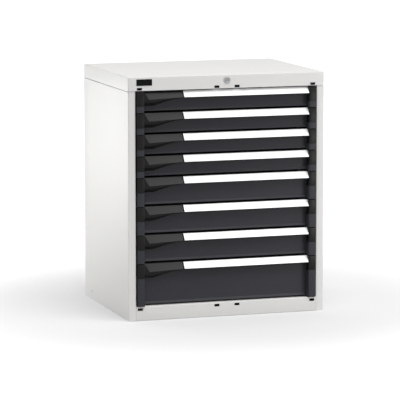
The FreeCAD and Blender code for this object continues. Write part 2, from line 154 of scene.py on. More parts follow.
# %% [markdown]
# ## Shared surface effects
# Each effect that more than one finish needs is a node group: coat texture, dust, moulded
# grain, rolled metal and turned metal. They give colours, roughness and heights, and the
# shader itself stays in each material. All of them read Object coordinates, and since every
# object sits at the origin, one metre of pattern is one metre of cabinet.

# %% Group helper
def new_group(name, inputs, outputs):
    """A node group with float and colour sockets: colours are given as four numbers."""
    tree = bpy.data.node_groups.new(name, "ShaderNodeTree")
    for label, value in inputs.items():
        kind = "NodeSocketColor" if isinstance(value, tuple) else "NodeSocketFloat"
        tree.interface.new_socket(label, in_out="INPUT", socket_type=kind).default_value = value
    for label in outputs:
        kind = "NodeSocketColor" if label == "Colour" else "NodeSocketFloat"
        tree.interface.new_socket(label, in_out="OUTPUT", socket_type=kind)
    return tree, tree.nodes.new("NodeGroupInput").outputs


def give(tree, **results):
    out = tree.nodes.new("NodeGroupOutput")
    for label, socket in results.items():
        tree.links.new(socket, out.inputs[label])


def noise(tree, scale, detail=2.0, roughness=0.5, coordinates=None):
    where = coordinates or node(tree, "TexCoord").outputs["Object"]
    return node(tree, "TexNoise", {"Vector": where, "Scale": scale, "Detail": detail,
                                   "Roughness": roughness}).outputs["Fac"]


def shaded(tree, colour, factor, spread):
    """The colour times one plus or minus spread, as the factor goes from 0 to 1."""
    span = maths(tree, "MULTIPLY", spread, 2.0)
    low = maths(tree, "SUBTRACT", 1.0, spread)
    gain = maths(tree, "MULTIPLY_ADD", factor, span, low)
    return node(tree, "VectorMath", {0: colour, "Scale": gain}, operation="SCALE").outputs[0]


# %% Coat texture
# Powder coat melts into a skin with a fine orange peel, a millimetre or two from crest to crest.
coat_tree, given = new_group(
    "coat_texture",
    {"Base": (0.8, 0.8, 0.8, 1.0), "Variation": 0.02, "Peel scale": 700.0, "Gloss": 0.45,
     "Gloss spread": 0.08},
    ("Colour", "Roughness", "Height"))
cloud = noise(coat_tree, 5.0, 3.0)
patch = noise(coat_tree, 42.0, 4.0, 0.6)
peel = noise(coat_tree, given["Peel scale"], 2.0, 0.55)
speck = noise(coat_tree, 2600.0, 1.0)
spread = maths(coat_tree, "MULTIPLY_ADD", patch, given["Gloss spread"], given["Gloss"])
give(coat_tree, Colour=shaded(coat_tree, given["Base"], cloud, given["Variation"]),
     Roughness=spread, Height=maths(coat_tree, "MULTIPLY_ADD", speck, 0.35, peel))

# %% Settled dust
# A little dust and handling haze gathers on faces that look up. It lightens and dulls them.
dust_tree, given = new_group(
    "settled_dust",
    {"Base": (0.8, 0.8, 0.8, 1.0), "Dust": (0.6, 0.59, 0.56, 1.0), "Amount": 0.1, "Roughness": 0.45},
    ("Colour", "Roughness"))
normal = node(dust_tree, "NewGeometry").outputs["Normal"]
facing = node(dust_tree, "SeparateXYZ", {0: normal}).outputs["Z"]
upward = node(dust_tree, "MapRange", {"Value": facing, "From Min": 0.55, "From Max": 1.0}).outputs[0]
drift = node(dust_tree, "MapRange", {"Value": noise(dust_tree, 26.0, 5.0, 0.65), "From Min": 0.35,
                                     "From Max": 0.75}).outputs[0]
mask = maths(dust_tree, "MULTIPLY", maths(dust_tree, "MULTIPLY", upward, drift), given["Amount"])
mixed = node(dust_tree, "Mix", {"Factor": mask, 6: given["Base"], 7: given["Dust"]}, data_type="RGBA")
give(dust_tree, Colour=mixed.outputs[2],
     Roughness=maths(dust_tree, "MULTIPLY_ADD", mask, 0.4, given["Roughness"]))

# %% Moulded grain
# Moulded plastic copies the spark-eroded skin of its tool: small round pits, close together.
grain_tree, given = new_group(
    "moulded_grain",
    {"Base": (0.05, 0.05, 0.05, 1.0), "Pit scale": 1100.0, "Variation": 0.06, "Gloss": 0.4},
    ("Colour", "Roughness", "Height"))
where = node(grain_tree, "TexCoord").outputs["Object"]
pits = node(grain_tree, "TexVoronoi", {"Vector": where, "Scale": given["Pit scale"]},
            feature="SMOOTH_F1").outputs["Distance"]
flow = noise(grain_tree, 14.0, 3.0)
give(grain_tree, Colour=shaded(grain_tree, given["Base"], flow, given["Variation"]),
     Roughness=maths(grain_tree, "MULTIPLY_ADD", flow, 0.08, given["Gloss"]), Height=pits)

# %% Rolled zinc
# Zinc plated strip keeps the mill's lines along its length and a faint pattern of crystals.
zinc_tree, given = new_group(
    "rolled_zinc", {"Base": (0.6, 0.6, 0.62, 1.0), "Crystal scale": 90.0, "Gloss": 0.28},
    ("Colour", "Roughness", "Height"))
where = node(zinc_tree, "TexCoord").outputs["Object"]
drawn = node(zinc_tree, "Mapping", {"Vector": where, "Scale": (900.0, 12.0, 900.0)}).outputs[0]
lines = noise(zinc_tree, 1.0, 2.0, 0.5, drawn)
crystals = node(zinc_tree, "TexVoronoi",
                {"Vector": where, "Scale": given["Crystal scale"]}).outputs["Color"]
flash = node(zinc_tree, "SeparateXYZ", {0: crystals}).outputs["X"]
give(zinc_tree, Colour=shaded(zinc_tree, given["Base"], flash, 0.06),
     Roughness=maths(zinc_tree, "MULTIPLY_ADD", lines, 0.18, given["Gloss"]), Height=lines)

# %% Turned metal
# The lock's face is turned on a lathe, so its lines run round the axis of the key.
turned_tree, given = new_group(
    "turned_metal", {"Base": (0.6, 0.6, 0.6, 1.0), "Centre height": 0.831, "Gloss": 0.25},
    ("Colour", "Roughness", "Height"))
parts = node(turned_tree, "SeparateXYZ", {0: node(turned_tree, "TexCoord").outputs["Object"]}).outputs
level = maths(turned_tree, "SUBTRACT", parts["Z"], given["Centre height"])
across = maths(turned_tree, "MULTIPLY", parts["X"], parts["X"])
upwards = maths(turned_tree, "MULTIPLY", level, level)
distance = maths(turned_tree, "SQRT", maths(turned_tree, "ADD", across, upwards))
wave = maths(turned_tree, "SINE", maths(turned_tree, "MULTIPLY", distance, 9000.0))
rings = maths(turned_tree, "MULTIPLY_ADD", wave, 0.5, 0.5)
smudge = noise(turned_tree, 160.0, 3.0)
give(turned_tree, Colour=shaded(turned_tree, given["Base"], smudge, 0.08),
     Roughness=maths(turned_tree, "MULTIPLY_ADD", smudge, 0.15, given["Gloss"]), Height=rings)
print("groups:", [g.name for g in bpy.data.node_groups])

# %% [markdown]
# ## Finishes
# One material for each finish that the record names, and a near-black painted shade for the
# hollow of the base, which stands in for the shadow inside it, so its slots look black. A finish
# places its groups with its own values and joins them to its shader.

# %% Finish helper
def use_group(tree, group, **values):
    placed = tree.nodes.new("ShaderNodeGroup")
    placed.node_tree = bpy.data.node_groups[group]
    for label, value in values.items():
        label = label.replace("_", " ")
        if isinstance(value, bpy.types.NodeSocket):
            tree.links.new(value, placed.inputs[label])
        else:
            placed.inputs[label].default_value = value
    return placed.outputs


def finish(name, specular=0.5, metallic=0.0, coat=0.0):
    material = bpy.data.materials.new(name)
    material.use_nodes = True
    tree = material.node_tree
    tree.nodes.clear()
    shader = node(tree, "BsdfPrincipled", {"Specular IOR Level": specular, "Metallic": metallic,
                                           "Coat Weight": coat, "Coat Roughness": 0.12})
    node(tree, "OutputMaterial", {"Surface": shader.outputs[0]})
    return material, tree, shader


def wire(tree, shader, colour, roughness, height, depth):
    """Joins colour, roughness and a bump of the given depth, in metres, to the shader."""
    tree.links.new(colour, shader.inputs["Base Color"])
    tree.links.new(roughness, shader.inputs["Roughness"])
    bump = node(tree, "Bump", {"Height": height, "Distance": depth, "Strength": 1.0})
    tree.links.new(bump.outputs[0], shader.inputs["Normal"])


# %% Carcass paint
def painted(name, colour, specular, peel, depth, gloss, variation, dust):
    """A powder coat: peel is the peel's scale, depth its height in metres."""
    material, tree, shader = finish(name, specular)
    coat = use_group(tree, "coat_texture", Base=(*colour, 1.0), Variation=variation,
                     Peel_scale=peel, Gloss=gloss, Gloss_spread=0.10)
    dusty = use_group(tree, "settled_dust", Base=coat["Colour"], Amount=dust,
                      Roughness=coat["Roughness"])
    wire(tree, shader, dusty["Colour"], dusty["Roughness"], coat["Height"], depth)
    return material


light_coat = painted("light_grey_coat", (0.640, 0.636, 0.625), specular=0.35, peel=620.0,
                     depth=0.000030, gloss=0.42, variation=0.012, dust=0.05)
print("made", light_coat.name)

# %% Drawer paint and the painted shade of the base's hollow
dark_coat = painted("anthracite_coat", (0.0275, 0.0278, 0.0340), specular=0.26, peel=760.0,
                    depth=0.000030, gloss=0.46, variation=0.05, dust=0.012)
# The second finish is no real primer but painted shade: near black, it darkens the hollow of the base
# as if in shadow.
hollow_shade = painted("painted_hollow_shade", (0.0090, 0.0090, 0.0095), specular=0.10, peel=760.0,
                 depth=0.000020, gloss=0.75, variation=0.06, dust=0.0)
print("made", dark_coat.name, hollow_shade.name)


# %% Cap plastic, grip and badge
def moulded(name, colour, specular, pits, depth, gloss):
    material, tree, shader = finish(name, specular)
    grain = use_group(tree, "moulded_grain", Base=(*colour, 1.0), Pit_scale=pits, Gloss=gloss)
    dusty = use_group(tree, "settled_dust", Base=grain["Colour"], Amount=0.03,
                      Roughness=grain["Roughness"])
    wire(tree, shader, dusty["Colour"], dusty["Roughness"], grain["Height"], depth)
    return material


cap_plastic = moulded("dark_moulded_plastic", (0.0100, 0.0100, 0.0096), specular=0.17,
                      pits=1100.0, depth=0.000012, gloss=0.34)
grip_black = moulded("black_grip", (0.0060, 0.0060, 0.0065), specular=0.12,
                     pits=1500.0, depth=0.000008, gloss=0.45)
badge_black = moulded("black_plate", (0.0030, 0.0030, 0.0030), specular=0.14,
                      pits=1800.0, depth=0.000004, gloss=0.22)
print("made", cap_plastic.name, grip_black.name, badge_black.name)


# %% Label
# Card under a clear cover: the fibres show as a faint unevenness, and the cover as a coat.
def card(name):
    material, tree, shader = finish(name, 0.4, coat=0.35)
    fibres = use_group(tree, "coat_texture", Base=(0.93, 0.93, 0.925, 1.0), Variation=0.012,
                       Peel_scale=1800.0, Gloss=0.5, Gloss_spread=0.1)
    wire(tree, shader, fibres["Colour"], fibres["Roughness"], fibres["Height"], 0.000008)
    return material


label_white = card("white_label_card")
print("made", label_white.name)


# %% Metals
def bare_metal(name, group, colour, depth, **values):
    material, tree, shader = finish(name, 0.5, metallic=1.0)
    metal = use_group(tree, group, Base=(*colour, 1.0), **values)
    wire(tree, shader, metal["Colour"], metal["Roughness"], metal["Height"], depth)
    return material


zinc = bare_metal("zinc_plate", "rolled_zinc", (0.60, 0.61, 0.63), 0.000010)
chrome = bare_metal("satin_chrome", "turned_metal", (0.42, 0.42, 0.43), 0.000004, Gloss=0.30)
print("made", zinc.name, chrome.name)

# %% Floor
# To the lens the paper glows a little, more so away from the cabinet and not at all under it, so
# it fades to white like the sky while the shadows beside the cabinet stay.
def make_floor(radius):
    bm = bmesh.new()
    bmesh.ops.create_circle(bm, cap_ends=True, segments=96, radius=radius)
    mesh = bpy.data.meshes.new("studio_floor")
    bm.to_mesh(mesh)
    bm.free()
    floor = bpy.data.objects.new("studio_floor", mesh)
    scene.collection.objects.link(floor)
    material, tree, shader = finish("floor_paper", 0.0)
    sheet = use_group(tree, "coat_texture", Base=(0.50, 0.50, 0.50, 1.0), Variation=0.004,
                      Peel_scale=200.0, Gloss=0.9, Gloss_spread=0.02)
    wire(tree, shader, sheet["Colour"], sheet["Roughness"], sheet["Height"], 0.000002)
    shader.inputs["Emission Color"].default_value = (1, 1, 1, 1)
    seen = node(tree, "LightPath").outputs["Is Camera Ray"]
    where = node(tree, "TexCoord").outputs["Object"]
    parts = node(tree, "SeparateXYZ", {0: where}).outputs
    beside = maths(tree, "GREATER_THAN", maths(tree, "ABSOLUTE", parts["X"]), outer - 0.004)
    before = maths(tree, "GREATER_THAN", maths(tree, "ABSOLUTE", parts["Y"]), back - 0.006)
    reach = node(tree, "VectorMath", {0: where}, operation="LENGTH").outputs["Value"]
    far = node(tree, "MapRange", {"Value": reach, "From Min": 0.65, "From Max": 1.6, "To Min": 0.19,
                                  "To Max": 0.60}, interpolation_type="SMOOTHSTEP").outputs[0]
    lift = maths(tree, "MULTIPLY", maths(tree, "MAXIMUM", beside, before), far)
    tree.links.new(maths(tree, "MULTIPLY", seen, lift), shader.inputs["Emission Strength"])
    mesh.materials.append(material)
    return floor


print("floor:", make_floor(60.0).dimensions.x, "m across")

# %% [markdown]
# ## Working sheet metal
# Folded parts start as a strip of points, the outside of the section. The strip is extruded
# along its length, its folds are bevelled into bends, slots are opened, and solidify gives it
# the thickness of the sheet towards the inside. That is how a press brake does it, and it
# gives real bend radii, which catch a fine line of light that a sharp corner never shows.

# %% Piece helper
def keep(bm, name, body, material, replaces, smooth=32, inside=None):
    """Finishes a bmesh: welded, faces outwards, smooth with sharp folds, riding on its body."""
    bmesh.ops.remove_doubles(bm, verts=bm.verts, dist=0.000002)
    bmesh.ops.recalc_face_normals(bm, faces=bm.faces)
    mesh = bpy.data.meshes.new(name)
    bm.to_mesh(mesh)
    bm.free()
    mesh.shade_smooth()
    mesh.set_sharp_from_angle(angle=radians(smooth))
    mesh.materials.append(material)
    if inside:
        mesh.materials.append(inside)
    piece = bpy.data.objects.new(name, mesh)
    scene.collection.objects.link(piece)
    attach(piece, body)
    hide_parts(*replaces)
    return piece


# %% Small helpers
def corners_of(made):
    """The vertices among the geometry that an operator returned."""
    return [part for part in made if isinstance(part, bmesh.types.BMVert)]


def around(faces):
    """Faces with their edges and vertices, which is what a cut needs."""
    edges = dict.fromkeys(edge for face in faces for edge in face.edges)
    corners = dict.fromkeys(vert for face in faces for vert in face.verts)
    return [*faces, *edges, *corners]


def cut(bm, faces, point, normal):
    """Cuts faces along a plane through the point."""
    bmesh.ops.bisect_plane(bm, geom=around(faces), dist=1e-7, plane_co=point, plane_no=normal)


def round_edges(bm, edges, radius, steps):
    bmesh.ops.bevel(bm, geom=edges, offset=radius, offset_type="OFFSET", segments=steps, profile=0.5,
                    affect="EDGES", material=-1)


def height_of(face):
    return face.calc_center_median().z


print("helpers ready")


# %% Strip, bend and thicken
def strip(bm, points, travel):
    """An open strip through the points, extruded along travel."""
    corners = [bm.verts.new(point) for point in points]
    edges = [bm.edges.new(pair) for pair in zip(corners, corners[1:])]
    made = bmesh.ops.extrude_edge_only(bm, edges=edges)["geom"]
    bmesh.ops.translate(bm, verts=corners_of(made), vec=travel)


def bend(bm, radius, steps=4, sharper=15):
    """Rounds every fold of the strips in a bmesh to a bend radius."""
    inner = [e for e in bm.edges if len(e.link_faces) == 2]
    round_edges(bm, [e for e in inner if e.calc_face_angle() > radians(sharper)], radius, steps)


def thicken(bm, thickness, inside):
    """Gives an open sheet its thickness, on the side where the point inside lies."""
    bmesh.ops.recalc_face_normals(bm, faces=bm.faces)
    widest = max(bm.faces, key=lambda face: face.calc_area())
    if widest.normal.dot(Vector(inside) - widest.calc_center_median()) > 0:
        bmesh.ops.reverse_faces(bm, faces=bm.faces)
    bmesh.ops.solidify(bm, geom=bm.faces[:], thickness=thickness)


def merged(parts):
    """Several bmeshes in one."""
    whole = bmesh.new()
    for part in parts:
        mesh = bpy.data.meshes.new("part")
        part.to_mesh(mesh)
        part.free()
        whole.from_mesh(mesh)
        bpy.data.meshes.remove(mesh)
    return whole


# %% Blocks and eased edges
def block(low, high, ease=0.0, steps=2):
    """A block between two corners, with its edges eased by a small bevel."""
    bm = bmesh.new()
    low, high = Vector(low), Vector(high)
    bmesh.ops.create_cube(bm, size=1.0)
    bmesh.ops.scale(bm, verts=bm.verts, vec=high - low)
    bmesh.ops.translate(bm, verts=bm.verts, vec=(low + high) / 2)
    if ease:
        round_edges(bm, bm.edges[:], ease, steps)
    return bm


def bar(points, travel, ease, steps=2, sharper=20):
    """A solid bar: a closed outline pushed along travel, with eased edges."""
    bm = bmesh.new()
    face = bm.faces.new([bm.verts.new(point) for point in points])
    made = bmesh.ops.extrude_face_region(bm, geom=[face])["geom"]
    bmesh.ops.translate(bm, verts=corners_of(made), vec=travel)
    bmesh.ops.recalc_face_normals(bm, faces=bm.faces)
    round_edges(bm, [e for e in bm.edges if e.calc_face_angle() > radians(sharper)], ease, steps)
    return bm


# %% Holes and slots
def pierce(bm, centre, half, corner, axes, margin=0.002, cuts=9):
    """Opens a slot or a round hole in a flat face that looks along the third axis.

    The face is first cut free around the slot, then an inner ring of it is moved on to the
    slot's outline: a rectangle of the half sizes whose corners have the given radius.
    """
    across = 3 - sum(axes)
    centre = Vector(centre)
    for axis, size in zip(axes, half):
        for sign in (-1, 1):
            flat = [f for f in bm.faces if abs(f.calc_center_median()[across] - centre[across]) < 1e-5
                    and abs(f.normal[across]) > 0.9]
            point = centre.copy()
            point[axis] += sign * (size + margin)
            normal = Vector((0, 0, 0))
            normal[axis] = 1
            cut(bm, flat, point, normal)

    def middle_face():
        return min(bm.faces, key=lambda f: (f.calc_center_median() - centre).length)

    bmesh.ops.subdivide_edges(bm, edges=middle_face().edges[:], cuts=cuts)
    bmesh.ops.inset_individual(bm, faces=[middle_face()], thickness=margin / 2)
    face = middle_face()
    for vert in face.verts:
        place = centre.copy()
        reach = [vert.co[axis] - centre[axis] for axis in axes]
        core = [max(-(size - corner), min(size - corner, r)) for size, r in zip(half, reach)]
        out = Vector([r - c for r, c in zip(reach, core)]).normalized() * corner
        for axis, c, o in zip(axes, core, out):
            place[axis] += c + o
        vert.co = place
    bmesh.ops.delete(bm, geom=[face], context="FACES")


print("tools ready")

# %% [markdown]
# ## Side panels
# Each side is one sheet: a skin with a front flange folded round to a short lip, and a narrow
# rear flange. The strip follows the outside of that section and runs up to the lid. A hole low
# down near the back takes the bolt that links two cabinets.

# %% Side panels
def make_side(side, name):
    low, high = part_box(name)
    bm = bmesh.new()
    edge = opening * side
    points = [(edge, front + 0.015, low.z), (edge, front, low.z), (outer * side, front, low.z),
              (outer * side, back, low.z), ((outer - 0.020) * side, back, low.z)]
    strip(bm, points, (0, 0, high.z - low.z))
    bend(bm, 0.0022)
    hole, from_back, height = 0.0035, 0.090, 0.030
    pierce(bm, (outer * side, back - from_back, height), (hole, hole), hole, (1, 2))
    thicken(bm, steel, (0, 0, 0.4))
    piece = keep(bm, f"{name}_panel", "carcass", light_coat, [name])
    print(piece.name, [round(v, 4) for v in piece.dimensions], len(piece.data.polygons), "faces")


make_side(-1, "left_side")
make_side(1, "right_side")

# %% [markdown]
# ## Lid
# The lid is a shallow pan turned over. A cube loses its bottom, its outer edges are bent, and
# four slots and the lock's hole are opened in the fascia before the sheet gets its thickness.
# Over the drawers the fascia's lower edge is cut a little higher, which leaves a shadow line.

# %% Lid
def make_lid():
    slot_height, lock_hole = 0.8085, 0.009
    bm = block(lid_low, lid_high)
    bmesh.ops.delete(bm, geom=[min(bm.faces, key=height_of)], context="FACES")
    bend(bm, 0.0026, 5)
    lock_low, lock_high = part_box("lock_housing")
    for place in slot_places:
        pierce(bm, (place, front, slot_height), slot_half, slot_corner, (0, 2), 0.0012)
    lock_height = (lock_low.z + lock_high.z) / 2
    pierce(bm, (0, front, lock_height), (lock_hole, lock_hole), lock_hole, (0, 2))
    relief = lid_low.z + 0.0015
    upwards, sideways = (0, 0, 1), (1, 0, 0)
    for point, normal in (((0, 0, relief), upwards), ((-opening, 0, 0), sideways),
                          ((opening, 0, 0), sideways)):
        cut(bm, [f for f in bm.faces if f.normal.y < -0.9], point, normal)
    shadow_gap = [f for f in bm.faces if f.normal.y < -0.9 and height_of(f) < relief
                  and abs(f.calc_center_median().x) < opening]
    bmesh.ops.delete(bm, geom=shadow_gap, context="FACES")
    thicken(bm, steel, (0, 0, 0.82))
    return keep(bm, "lid", "carcass", light_coat, ["top_cover"])


lid = make_lid()
print(lid.name, [round(v, 4) for v in lid.dimensions], len(lid.data.polygons), "faces")

# %% [markdown]
# ## Base
# The base is one folded strip as well: a flange on the ground, the front rail, the deck that
# the cabinet's floor is, the rear skirt and its flange. Its front corners are cut away for the
# flanges of the sides, and two short flanges close the ring on the ground.

# %% Base
def make_base():
    setback, wide, rear, deck = post_low.y, base_high.x, base_high.y, base_high.z
    flange, gap, slot_height = 0.028, 0.0005, 0.040
    bm = bmesh.new()
    points = [(-wide, setback + flange, 0), (-wide, front, 0), (-wide, front, deck),
              (-wide, rear, deck), (-wide, rear, 0), (-wide, rear - steel - flange, 0)]
    strip(bm, points, (2 * wide, 0, 0))
    for side in (-1, 1):
        cut(bm, bm.faces[:], (side * opening, 0, 0), (1, 0, 0))
    cut(bm, bm.faces[:], (0, setback, 0), (0, 1, 0))
    middles = [(f, f.calc_center_median()) for f in bm.faces]
    corners = [f for f, middle in middles if abs(middle.x) > opening and middle.y < setback]
    bmesh.ops.delete(bm, geom=corners, context="FACES")
    bend(bm, 0.0022)
    for place in slot_places:
        pierce(bm, (place, front, slot_height), slot_half, slot_corner, (0, 2))
    thicken(bm, steel, (0, 0, 0.03))
    skin = 0.0012
    # Faces inside the hollow take the second slot, a near-black painted shade that keeps the slots as
    # dark as shadow.
    for face in bm.faces:
        middle = face.calc_center_median()
        if front + skin < middle.y < rear - skin and skin < middle.z < deck - skin:
            face.material_index = 1
    half = flange / 2
    start, end = setback + flange + gap, rear - steel - flange - gap
    ring = [block((side * (wide - half) - half, start, 0), (side * (wide - half) + half, end, steel),
                  0.0003) for side in (-1, 1)]
    return keep(merged([bm] + ring), "base_plinth", "carcass", light_coat,
                ["base_frame"], inside=hollow_shade)


base = make_base()
print(base.name, [round(v, 4) for v in base.dimensions], len(base.data.polygons), "faces")

# %% [markdown]
# ## Back, posts and the parts behind
# The back sheet is flat and is right as the CAD gives it, so it only takes the coat. The lock
# bar and its guides are plain machined shapes inside, and take zinc plate. The corner posts
# are bent channels and are made again as strips.

# %% Back sheet, lock bar and guides
for name, material in (("back_panel", light_coat), ("lock_bar", zinc), ("bar_guides", zinc)):
    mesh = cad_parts[name].data
    mesh.materials.clear()
    mesh.materials.append(material)
print("back sheet and lock bar coated")


# %% Corner posts
def make_posts():
    low, high = post_low, post_high
    inner, depth = 0.331, 0.050
    channels = []
    for near in (low.y, high.y - depth):
        far = near + depth
        for side in (-1, 1):
            bm = bmesh.new()
            web, tip = inner * side, high.x * side
            strip(bm, [(tip, near, low.z), (web, near, low.z), (web, far, low.z), (tip, far, low.z)],
                  (0, 0, high.z - low.z))
            bend(bm, 0.0025, 3)
            thicken(bm, 0.002, (0.35 * side, (near + far) / 2, 0.4))
            channels.append(bm)
    return keep(merged(channels), "posts", "carcass", zinc, ["corner_posts"])


print(make_posts().name, "made")

# %% [markdown]
# ## Slides
# A full-extension slide is three channels, one in another. The outer one is screwed to the
# posts, the inner one to the tray, and the middle one runs half as far as the drawer. All are
# the same bent strip in three sizes, so one function makes them.

# %% Slide channels
def slide_channel(web, tip, centre, half, start, end, gauge=0.002):
    """A channel along Y: an upright web with two flanges that end at the tip."""
    bm = bmesh.new()
    foot, head = centre - half, centre + half
    points = [(tip, start, foot), (web, start, foot), (web, start, head), (tip, start, head)]
    strip(bm, points, (0, end - start, 0))
    bend(bm, 0.0026, 3)
    thicken(bm, gauge, ((web + tip) / 2, 0, centre))
    return bm


def make_fixed_rails():
    low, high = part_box("fixed_rails")
    tip, half = 0.3125, 0.022
    channels = []
    for row in rows:
        middle_low, middle_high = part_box(f"mid_rails_{row}")
        centre = (middle_low.z + middle_high.z) / 2
        for side in (-1, 1):
            channels.append(slide_channel(high.x * side, tip * side, centre, half, low.y, high.y))
    return keep(merged(channels), "outer_slides", "carcass", zinc, ["fixed_rails"])


def make_middle_rails(row):
    name = f"mid_rails_{row}"
    low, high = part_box(name)
    tip, centre, half = 0.3105, (low.z + high.z) / 2, (high.z - low.z) / 2
    channels = [slide_channel(high.x * side, tip * side, centre, half, low.y, high.y)
                for side in (-1, 1)]
    return keep(merged(channels), f"middle_slides_{row}", f"slide_{row}", zinc, [name])


print(make_fixed_rails().name, [make_middle_rails(row).name for row in rows])

# %% [markdown]
# ## Trays
# A tray is a welded steel box. A cube loses its top, its edges are rounded and it gets its
# thickness. Its runners are the inner channels of the slides, and a small hook at the back is
# what the lock bar catches.

# %% Trays
def make_tray(row):
    name = f"drawer_{row}_tray"
    low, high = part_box(name)
    middle_low, middle_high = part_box(f"mid_rails_{row}")
    half, rear = 0.3075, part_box("fixed_rails")[1].y
    bm = block((-half, low.y, low.z), (half, rear, high.z))
    bmesh.ops.delete(bm, geom=[max(bm.faces, key=height_of)], context="FACES")
    bend(bm, 0.0020, 3)
    thicken(bm, steel, (0, 0, low.z + 0.02))
    centre, tip, runner_half = (middle_low.z + middle_high.z) / 2, 0.326, 0.017
    parts = [bm]
    for side in (-1, 1):
        parts.append(slide_channel(half * side, tip * side, centre, runner_half, middle_low.y, rear))
    catch, wide, gauge = low.z + 0.042, 0.010, 0.002
    parts.append(block((-wide, rear, catch), (wide, high.y, catch + gauge), 0.0003))
    parts.append(block((-wide, high.y - gauge, catch - 0.010), (wide, high.y, catch), 0.0003))
    return keep(merged(parts), f"tray_{row}", f"drawer_{row}", dark_coat, [name])


print([len(make_tray(row).data.polygons) for row in rows], "faces in the trays")

# %% [markdown]
# ## Drawer fronts
# The front is folded too. Its face lies back between two columns that stand proud, and its
# foot flares forward to a short lip, a little above the columns' foot. The face is a strip run
# across, and each column a strip run upwards; they meet in the inner corner.

# %% Drawer fronts
def make_front(row):
    name = f"drawer_{row}_front"
    low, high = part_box(name)
    tray_front = high.y
    face, column, slant = low.y + 0.027, 0.302, 0.298
    shoulder, foot = high.z - 0.051, low.z + 0.0045
    sheet = bmesh.new()
    section = [(tray_front, high.z - 0.020), (tray_front, high.z), (face, high.z), (face, foot + 0.008),
               (face - 0.005, foot), (tray_front, foot), (tray_front, foot + 0.020)]
    strip(sheet, [(-slant, y, z) for y, z in section], (2 * slant, 0, 0))
    bend(sheet, 0.0014, 3, 10)
    thicken(sheet, steel, (0, -0.24, low.z + 0.03))
    parts = [sheet]
    for side in (-1, 1):
        post = bmesh.new()
        points = [(slant * side, face, low.z), (column * side, low.y, low.z),
                  (high.x * side, low.y, low.z), (high.x * side, tray_front, low.z)]
        strip(post, points, (0, 0, shoulder - low.z))
        inner = [e for e in post.edges if len(e.link_faces) == 2 and abs(e.verts[0].co.x) < 0.31]
        round_edges(post, inner, 0.0045, 5)
        outside = [e for e in post.edges if len(e.link_faces) == 2 and abs(e.verts[0].co.x) > 0.327
                   and all(abs(v.co.y - low.y) < 1e-5 for v in e.verts)]
        round_edges(post, outside, 0.0014, 3)
        thicken(post, steel, (0.315 * side, -0.26, low.z + 0.01))
        parts.append(post)
        inner_end, outer_end = sorted((slant * side, (high.x - 0.002) * side))
        parts.append(block((inner_end, face, shoulder), (outer_end, face + steel, high.z), 0.0003))
    return keep(merged(parts), f"front_{row}", f"drawer_{row}", dark_coat, [name])


print([len(make_front(row).data.polygons) for row in rows], "faces in the fronts")

# %% [markdown]
# ## End caps
# A moulded cap closes each end of the grip and covers the top of the column. The right one is
# a small block. The left one carries on as a wing, whose upper side slopes like the grip and
# whose belly sweeps up from the column to the label. It is one section, extruded from station
# to station while its points move along the sweep.

# %% Wing sections
def wing_section(x, start, end, top_z, lead, face):
    """The wing's outline at one station, from the top at the face, round the front, to the belly.

    The crest and the belly are depths below the top: of the wing's front edge and its underside.
    """
    along = (x - start) / (end - start)
    crest = 0.028 - 0.006 * along
    ramp = min(1.0, max(0.0, (x - start - 0.001) / 0.0165))
    cut = crest * (0.02 + 0.98 * ramp)
    sweep = min(1.0, max(0.0, (x - start - 0.040) / (end - start - 0.040)))
    belly = 0.0515 - 0.0245 * (1 - (1 - sweep) ** 1.25)
    slope_back = face - 0.010
    slope_at_cut = slope_back + (lead - slope_back) * cut / crest
    points = [(face, top_z), (slope_back, top_z), (slope_at_cut, top_z - cut),
              (lead, top_z - cut + 0.00005), (lead, top_z - crest - 0.0002)]
    whole_turn, steps = 0.85, 6
    for step in range(1, steps + 1):
        turn = whole_turn * step / steps
        inwards = (1 - cos(turn)) / (1 - cos(whole_turn))
        down = sin(turn) / sin(whole_turn)
        points.append((lead + (face - lead) * inwards, top_z - crest - (belly - crest) * down))
    return [Vector((x, y, z)) for y, z in points]


# %% End caps
def make_wing(start, end, top_z, lead, face):
    sweep_start = start + 0.040
    stations = [start, start + 0.001, start + 0.009, start + 0.0175, start + 0.030, sweep_start]
    stations += [sweep_start + (end - sweep_start) * step / 14 for step in range(1, 15)]
    bm = bmesh.new()
    outline = wing_section(start, start, end, top_z, lead, face)
    cap = bm.faces.new([bm.verts.new(point) for point in outline])
    for station in stations[1:]:
        made = bmesh.ops.extrude_face_region(bm, geom=[cap])["geom"]
        if station != stations[1]:
            bmesh.ops.delete(bm, geom=[cap], context="FACES_ONLY")
        cap = [f for f in made if isinstance(f, bmesh.types.BMFace)][0]
        for vert, point in zip(cap.verts, wing_section(station, start, end, top_z, lead, face)):
            vert.co = point
    return bm


def make_caps(row):
    name = f"drawer_{row}_end_caps"
    low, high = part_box(name)
    column = 0.302

    def in_front(vert):
        return abs(vert.co.y - low.y) < 1e-6

    parts = []
    for side in (-1, 1):
        inner_end, outer_end = sorted((column * side, high.x * side))
        cap = block((inner_end, low.y, low.z), (outer_end, high.y, high.z))
        if side > 0:
            inner = [e for e in cap.edges
                     if all(in_front(v) and abs(abs(v.co.x) - column) < 1e-6 for v in e.verts)]
            round_edges(cap, inner, 0.0045, 5)
        round_edges(cap, [e for e in cap.edges if all(in_front(v) for v in e.verts)], 0.0008, 2)
        parts.append(cap)
    wing_end = -0.1615
    parts.append(make_wing(-column, wing_end, high.z, low.y, high.y))
    return keep(merged(parts), f"end_caps_{row}", f"drawer_{row}", cap_plastic, [name])


print([len(make_caps(row).data.polygons) for row in rows], "faces in the caps")

# %% [markdown]
# ## Grips and labels
# The grip is an extruded profile: a sloping blade with a curl at its lower edge, open behind
# for the fingers. The label card lies on the slope under its clear cover. Both are outlines
# pushed across the drawer, with eased edges.

